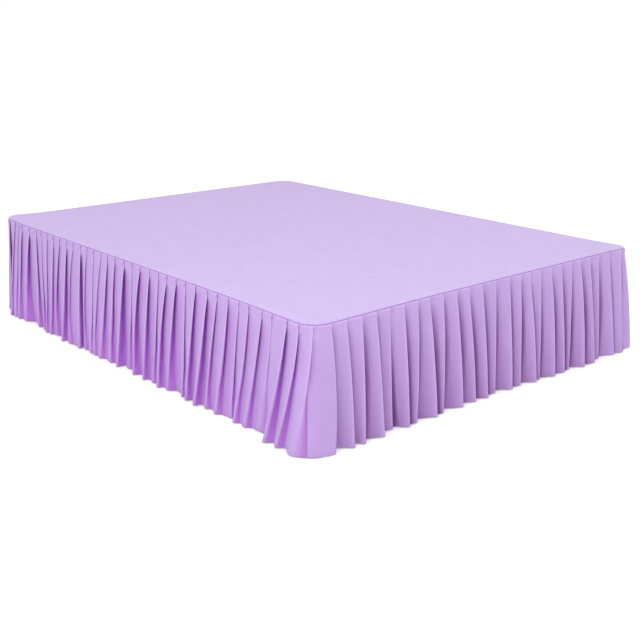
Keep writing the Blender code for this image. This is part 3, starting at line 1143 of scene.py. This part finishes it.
        # The lap and the last inner fold are painted in full shade, with no painted highlight.
        return Section(
            self._whole(start[0][:, :1] - lap, along, folds.inner[0][:, -1:]),
            self._whole(start[1][:, :1], out, folds.inner[1][:, -1:]),
            self._whole(-lap, way, cut.sum()),
            self._whole(1.0, painted_shade, 1.0),
            self._whole(0.0, edge, 0.0),
        )

    def _ripple(self, place: Triple, level: float) -> float:
        """Small swell of the cloth out of its folds, more towards the hem."""
        swell = lumps(place, self.ripple_scale)
        crease = lumps(place, self.crease_scale, self.crease_shift)
        return self.ripple * level * (swell + self.crease_share * crease)

    def build(self) -> bpy.types.Object:
        """Model the panel.

        Returns:
            The cloth, with its UV map in metres and its attributes.
        """
        section = self._section()
        rows, columns = section.along.shape
        sheet = bmesh.new()
        bmesh.ops.create_grid(sheet, x_segments=columns - 1, y_segments=rows - 1, size=0.5)
        mesh = mesh_of(self.name, sheet)
        grid = np.empty(len(mesh.vertices) * 3)
        mesh.vertices.foreach_get("co", grid)
        grid = grid.reshape(-1, 3)
        column = np.rint((grid[:, 0] + 0.5) * (columns - 1)).astype(int)
        row = np.rint((0.5 - grid[:, 1]) * (rows - 1)).astype(int)
        along, out, way, painted_shade, edge = (values[row, column] for values in section)
        drape = self.drape
        down = drape.ways_down()[row]
        level, height = down / drape.drop, drape.top - down
        places = zip(*drape.outline.place(along, out), height)
        out = out + np.array([self._ripple(place, share) for place, share in zip(places, level)])
        x, y = drape.outline.place(along, out)
        aside, _ = drape.outline.place(along, out + 1.0)
        # How grey the painted shade is, by side: saturated on the left side, grey on the foot, the right
        # and the head side.
        grey_shade_share = np.clip(self.grey_shade_start + aside - x, 0.0, 1.0)
        wave = np.array([lumps((*place, 1.0), self.hem_wave_scale) for place in zip(x, y)])
        z = height + wave * self.hem_wave * level ** self.hem_wave_power
        z += (drape.lifted(x, y) - drape.sagged(x, y)) * (1 - level)
        x, y = drape.tugged(x, y, level)
        mesh.vertices.foreach_set("co", np.stack([x, y, z], axis=-1).ravel())
        loops = np.empty(len(mesh.loops), dtype=int)
        mesh.loops.foreach_get("vertex_index", loops)
        uv = np.stack([way[loops], -down[loops]], axis=-1)
        mesh.uv_layers.new(name="cloth").data.foreach_set("uv", uv.ravel())
        write_values(mesh, {"hem": drape.drop - down, "painted_shade": painted_shade, "edge": edge, "grey_shade_share": grey_shade_share})
        mesh.shade_smooth()
        piece = stand(self.name, mesh)
        group = piece.vertex_groups.new(name="thick")
        in_hem = row >= rows - self.hem_rows
        for share, those in ((1.0, in_hem), (self.cloth / self.hem_cloth, ~in_hem)):
            group.add([int(number) for number in np.nonzero(those)[0]], share, "REPLACE")
        thicken(piece, self.hem_cloth).vertex_group = group.name
        return piece

    def flat_size(self) -> Pair:
        """Length and height of the strip as it was cut."""
        widths, drape = self._widths(), self.drape
        strip = float(widths.sum()) + 2 * len(widths) * drape.underlap + drape.lap
        return strip, drape.drop + drape.hem_band


@dataclass
class Deck:
    """The deck panel: flat on the base, its rim turned down into the seam.

    rim: the rim's profile as ways out of the outline and above the flat, in
    millimetres, with the share of the seam's sag that each point takes.
    """

    outline: Outline
    top: float
    drape: Drape
    name: str = "deck_cloth"
    cloth: float = 0.8 * MM
    across: int = 44
    lengthways: int = 58
    corner_lines: float = 0.20
    swell: float = 0.5 * MM
    swell_scale: Pair = (3.0, 0.4)
    calm_power: int = 6
    rim: tuple[Triple, ...] = (
        (-6.0, 0.0, 0.0), (-3.6, -0.2, 0.1), (-1.6, -0.9, 0.4), (-0.5, -2.0, 0.75),
        (-0.4, -3.0, 1.0), (-1.2, -3.7, 1.0), (-3.2, -4.2, 1.0), (-4.0, -6.5, 1.0),
    )
    rim_in_sight: int = 4

    def _rounded(self, x: float, y: float, inset: float) -> Pair:
        """Map a point of the square from -1 to 1 onto the rounded outline."""
        half = (self.outline.width / 2 - inset, self.outline.length / 2 - inset)
        radius = self.outline.radius - inset
        px, py = x * half[0], y * half[1]
        dx = (abs(px) - (half[0] - radius)) / radius
        dy = (abs(py) - (half[1] - radius)) / radius
        if dx > 0 and dy > 0:
            bent = dx * math.sqrt(1 - dy * dy / 2), dy * math.sqrt(1 - dx * dx / 2)
            px = math.copysign(half[0] - radius + bent[0] * radius, px)
            py = math.copysign(half[1] - radius + bent[1] * radius, py)
        return px + self.outline.middle[0], py + self.outline.middle[1]

    def _on_rim(self, home: Pair, step: int) -> Triple:
        """Point of the rim's profile at a point of the square.

        Args:
            home: the point of the square from -1 to 1.
            step: the profile's step, 0 for the edge of the flat.

        Returns:
            Its X and Y, and its height above the flat.
        """
        out, height, slack = self.rim[step]
        at_rim = self._rounded(*home, 0.0)
        sag = float(self.drape.sagged(*at_rim))
        x, y = self._rounded(*home, -out * MM + (1 - slack) * sag)
        rise = height * MM - slack * sag + float(self.drape.lifted(*at_rim))
        return *self.drape.tugged(x, y, 0.0), rise

    def _spread(self, share: float, half: float) -> float:
        """Move a grid line so that a set share of them lies on the rounded corners."""
        corner = self.outline.radius / half
        edge = 1 - self.corner_lines
        size = abs(share)
        if size > edge:
            placed = 1 - corner * (1 - size) / (1 - edge)
        else:
            placed = (1 - corner) * size / edge
        return math.copysign(placed, share)

    def build(self) -> bpy.types.Object:
        """Model the deck.

        Returns:
            The cloth, with its UV map in metres and its attributes.
        """
        flat = self.top - self.cloth / 2 - self.swell * 0.5
        sheet = bmesh.new()
        bmesh.ops.create_grid(sheet, x_segments=self.across, y_segments=self.lengthways, size=1.0)
        homes = {}
        for vertex in sheet.verts:
            x = self._spread(vertex.co.x, self.outline.width / 2)
            y = self._spread(vertex.co.y, self.outline.length / 2)
            px, py, rise = self._on_rim((x, y), 0)
            calm = max(abs(x), abs(y)) ** self.calm_power
            height = lumps((px, py, 1.0), self.swell_scale) * self.swell * (1 - calm)
            homes[vertex] = (x, y)
            vertex.co = (px, py, flat + height + rise)
        edges = [edge for edge in sheet.edges if edge.is_boundary]
        groove = set()
        for step in range(1, len(self.rim)):
            old = {vertex for edge in edges for vertex in edge.verts}
            grown = bmesh.ops.extrude_edge_only(sheet, edges=edges)["geom"]
            edges = [item for item in grown if isinstance(item, bmesh.types.BMEdge) and item.is_boundary]
            for vertex in [item for item in grown if isinstance(item, bmesh.types.BMVert)]:
                beside = (edge.other_vert(vertex) for edge in vertex.link_edges)
                homes[vertex] = homes[next(other for other in beside if other in old)]
                px, py, rise = self._on_rim(homes[vertex], step)
                vertex.co = (px, py, flat + rise)
                if step > self.rim_in_sight:
                    groove.add(vertex)
        bmesh.ops.recalc_face_normals(sheet, faces=sheet.faces)
        # Painted shade: the rim's steps hidden in the seam are painted in full grey shade.
        painted_shade = [float(vertex in groove) for vertex in sheet.verts]
        layer = sheet.loops.layers.uv.new("cloth")
        for face in sheet.faces:
            for loop in face.loops:
                loop[layer].uv = loop.vert.co.xy
        mesh = mesh_of(self.name, sheet)
        write_values(mesh, {"hem": [1.0] * len(painted_shade), "painted_shade": painted_shade, "grey_shade_share": painted_shade})
        mesh.shade_smooth()
        piece = stand(self.name, mesh)
        thicken(piece, self.cloth)
        return piece


@dataclass
class Skirt:
    """The whole skirt: the deck and the four panels of the drop.

    manners: what a side's panel has other than by default; right and head: the
    sides that the photograph hides.
    """

    outline: Outline
    deck_top: float
    seam_drop: float = 4.6 * MM
    head_join: float = 0.050
    right_join_back: float = 0.035
    manners: dict[Side, dict[str, float | tuple]] = field(default_factory=lambda: {
        Side.LEFT: {
            "softness": 1.2, "crispness": 1.6, "pocket": 6.0 * MM, "slack": 2.6 * MM,
            "slot_width": 5.5 * MM, "slot_share": 0.45, "slot_fade": 0.5, "shade_width": 36.0 * MM,
            "low_shade": 0.60, "shade_rise": 2.6, "keenness": (0.5, 1.7), "seam_highlight": 0.2,
            "pinched": 0.6, "return_share": 0.30, "ridge": 2.2, "wave": 4.0 * MM,
        },
        Side.FOOT: {
            "softness": 0.35, "pocket": 5.0 * MM, "slack": 0.6 * MM, "slot_width": 21.0 * MM,
            "slot_power": 4.0, "slot_share": 0.72, "slot_fade": 0.0, "shade_width": 22.0 * MM,
            "high_shade": 0.25, "low_shade": 1.05, "shade_rise": 2.0, "seam_highlight": 0.4,
            "hem_shade": 0.34, "corner_slot": 0.4, "return_share": 0.16, "ridge": 1.2, "wave": 1.5 * MM,
        },
    })
    right: PlainSide = field(default_factory=lambda: PlainSide(11))
    head: PlainSide = field(default_factory=lambda: PlainSide(5, last_depth=8.0))

    def panels(self) -> list[Panel]:
        """Plan the four panels of the drop on one ring of pleats."""
        outline = self.outline
        left_end = self.head_join + sum(fold.width for fold in LEFT_FOLDS) * MM
        foot_end = left_end + sum(fold.width for fold in FOOT_FOLDS) * MM
        right_end = outline.perimeter - outline.runs[1] - 2 * outline.arc - self.right_join_back
        right_folds = self.right.folds(right_end - foot_end, FOOT_FOLDS[-1].lean)
        head_run = outline.perimeter + self.head_join - right_end
        head_folds = self.head.folds(head_run, right_folds[-1].lean)
        groups = [LEFT_FOLDS, FOOT_FOLDS, right_folds, head_folds]
        everything = [fold for group in groups for fold in group]
        ring = ring_of(everything, self.head_join, outline.perimeter)
        drape = Drape(outline, self.deck_top - self.seam_drop)
        panels = []
        first = 0
        for side, group in zip(Side, groups):
            name = side.name.lower()
            last = first + len(group)
            manner = self.manners.get(side, {})
            panels.append(Panel(f"pleats_{name}", f"skirt_{name}", drape, ring, first, last, **manner))
            first = last
        return panels

    def build(self, finish: bpy.types.Material, deck_finish: bpy.types.Material) -> None:
        """Model the skirt, dress it and seat it on the base."""
        panels = self.panels()
        cloth = Deck(self.outline, self.deck_top, panels[0].drape).build()
        self._settle(cloth, "deck_panel", deck_finish)
        flat = self.outline.width, self.outline.length
        for panel in panels:
            strip = panel.build()
            flat = panel.flat_size()
            self._settle(strip, panel.node, finish)
            LOG.info("%s: %d pleats, cut %.2f by %.3f m", strip.name, panel.last - panel.first, *flat)

    def _settle(self, piece: bpy.types.Object, node: str, finish: bpy.types.Material) -> None:
        """Dress a piece and let it stand for its solid."""
        piece.data.materials.append(finish)
        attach(piece, "root")
        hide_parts(node)


@dataclass
class Bed:
    """The base and its legs, which keep their solids and get their finishes."""

    nodes: dict[str, bpy.types.Object]

    def dress(self) -> None:
        """Put ticking on the base and wood on the legs."""
        finishes = {"bed_base": Ticking().material()}
        wood = TurnedWood().material()
        finishes.update({name: wood for name in self.nodes if name.startswith("leg_")})
        for name, finish in finishes.items():
            node = self.nodes[name]
            node.data.materials.clear()
            node.data.materials.append(finish)
            LOG.info("%s: dressed in %s", name, finish.name)


# ------------------------------------------------------------------- the studio

@dataclass(frozen=True)
class Lamp:
    """A soft square light over the bed."""

    name: str
    place: Triple
    size: float
    power: float
    target: Triple = (0.0, 0.0, 0.3)

    def build(self) -> None:
        """Make the light."""
        data = bpy.data.lights.new(self.name, "AREA")
        data.shape = "SQUARE"
        data.size = self.size
        data.energy = self.power
        aim(stand(self.name, data), Vector(self.place), Vector(self.target) - Vector(self.place))


@dataclass
class Studio:
    """Pale floor, soft light and the camera at the photograph's angle."""

    outline: Outline
    yaw: float = math.radians(49.60)
    pitch: float = math.radians(16.85)
    focal_pixels: float = 1036.4
    image_pixels: float = 640.0
    sensor: float = 36.0
    from_corner: Triple = (-1.786, -2.134, 1.2555)
    floor_radius: float = 400.0
    walls_light: float = 0.40
    window_light: float = 0.22
    ceiling_light: float = 1.05
    walls_seen: float = 1.02
    lamps: tuple[Lamp, ...] = (
        Lamp("key", (-2.0, -1.9, 3.4), 2.2, 48.0),
        Lamp("fill", (1.5, -1.2, 2.2), 1.4, 3.5, target=(0.4, -0.4, 0.4)),
    )

    def build(self) -> None:
        """Set up the floor, the camera, the lights and the walls."""
        self._floor()
        self._camera()
        for lamp in self.lamps:
            lamp.build()
        self._walls()
        bpy.context.scene.view_settings.view_transform = "Standard"

    def _walls(self) -> None:
        """Surround the bed with plain white walls, brighter above and on the left."""
        recipe = Recipe(bpy.data.worlds.new("studio"), "Background")
        right, _, up = recipe.parts(recipe.place("Generated"))
        left = (right * -1.0).most(0.0)
        light = up * up * self.ceiling_light + (left * left * self.window_light + self.walls_light)
        in_sight = recipe.node("ShaderNodeLightPath", output="Is Camera Ray")
        inputs = {"Value": in_sight, "To Min": light, "To Max": self.walls_seen}
        strength = recipe.node("ShaderNodeMapRange", {}, inputs)
        bpy.context.scene.world = recipe.finish(Color=WHITE, Strength=strength)

    def _floor(self) -> None:
        """Lay the floor."""
        disc = bmesh.new()
        bmesh.ops.create_circle(disc, cap_ends=True, segments=64, radius=self.floor_radius)
        floor = stand("studio_floor", mesh_of("studio_floor", disc))
        floor.data.materials.append(PaleFloor().material())

    def _camera(self) -> None:
        """Stand the camera where the photograph was taken from."""
        middle, width, length = self.outline.middle, self.outline.width, self.outline.length
        near_corner = Vector((middle[0] - width / 2, middle[1] - length / 2, 0.0))
        level = math.cos(self.pitch)
        look = Vector((level * math.cos(self.yaw), level * math.sin(self.yaw), -math.sin(self.pitch)))
        data = bpy.data.cameras.new("camera")
        data.sensor_width = self.sensor
        data.lens = self.focal_pixels / self.image_pixels * self.sensor
        camera = stand("camera", data)
        aim(camera, near_corner + Vector(self.from_corner), look)
        bpy.context.scene.camera = camera


def main() -> None:
    """Load the frame, build the skirt round it, and set up the studio."""
    logging.basicConfig(level=logging.INFO, format="%(name)s: %(message)s")
    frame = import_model()
    low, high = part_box("bed_base")
    deck_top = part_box("deck_panel")[1][2]
    outline = Outline(
        width=high[0] - low[0] + 2 * BASE_INSET,
        length=high[1] - low[1] + 2 * BASE_INSET,
        middle=((low[0] + high[0]) / 2, (low[1] + high[1]) / 2),
    )
    # The deck is a copy of the cloth with more sheen and shine and a paler colour; the paler colour is
    # painted light, the whitish sheen of the top seen at a grazing angle.
    deck_lit_copy = Microfibre("lilac_deck", face=(0.548, 0.438, 0.731), sheen=0.3, shine=0.45)
    Skirt(outline, deck_top).build(Microfibre().material(), deck_lit_copy.material())
    Bed(frame["nodes"]).dress()
    Studio(outline).build()


if __name__ == "__main__":
    main()
